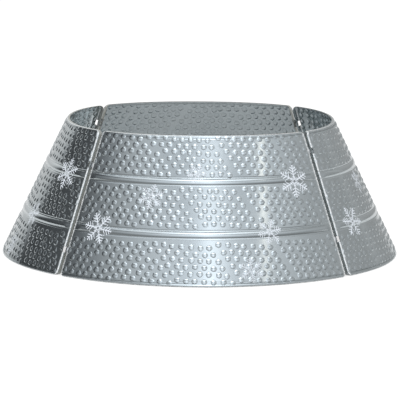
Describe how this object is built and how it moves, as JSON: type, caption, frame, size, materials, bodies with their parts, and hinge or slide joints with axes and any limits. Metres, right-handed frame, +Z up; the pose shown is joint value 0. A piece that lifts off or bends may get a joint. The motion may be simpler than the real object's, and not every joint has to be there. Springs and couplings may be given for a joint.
{
  "type": "christmas tree collar",
  "caption": "Round sheet-metal collar for the foot of a Christmas tree: curved, beaded panels leaning inwards, hinged at the seams by wire staples and hooks.",
  "frame": {"origin": "on the floor, at the centre of the collar's base circle", "axes": "+Z up along the cone's axis; -Y towards the middle of the front panel; +X towards the right panel"},
  "size_m": [0.6628, 0.6628, 0.226],
  "materials": {
    "panel_sheet": "hammered galvanised sheet, satin, with pale snowflakes printed on it",
    "staple_wire": "bright drawn wire",
    "hook_strip": "bright rolled strip"
  },
  "bodies": {
    "front": {"front_panel": "panel_sheet", "front_right_upper_staple": "staple_wire", "front_right_lower_staple": "staple_wire", "front_left_upper_staple": "staple_wire", "front_left_lower_staple": "staple_wire"},
    "right": {"right_panel": "panel_sheet", "front_right_upper_hook": "hook_strip", "front_right_lower_hook": "hook_strip", "back_right_upper_hook": "hook_strip", "back_right_lower_hook": "hook_strip"},
    "back": {"back_panel": "panel_sheet", "back_right_upper_staple": "staple_wire", "back_right_lower_staple": "staple_wire", "back_left_upper_staple": "staple_wire", "back_left_lower_staple": "staple_wire"},
    "left": {"left_panel": "panel_sheet", "front_left_upper_hook": "hook_strip", "front_left_lower_hook": "hook_strip", "back_left_upper_hook": "hook_strip", "back_left_lower_hook": "hook_strip"}
  },
  "joints": [
    {"name": "front_right_hinge", "type": "hinge", "parent": "front", "child": "right", "pos_m": [0.1965, -0.1965, 0.11135], "axis": [0.2777, -0.2777, -0.9197], "range_deg": [0, 75]},
    {"name": "back_right_hinge", "type": "hinge", "parent": "right", "child": "back", "pos_m": [0.1965, 0.1965, 0.11135], "axis": [0.2777, 0.2777, -0.9197], "range_deg": [0, 75]},
    {"name": "front_left_hinge", "type": "hinge", "parent": "front", "child": "left", "pos_m": [-0.1965, -0.1965, 0.11135], "axis": [0.2777, 0.2777, 0.9197], "range_deg": [0, 75]}
  ]
}
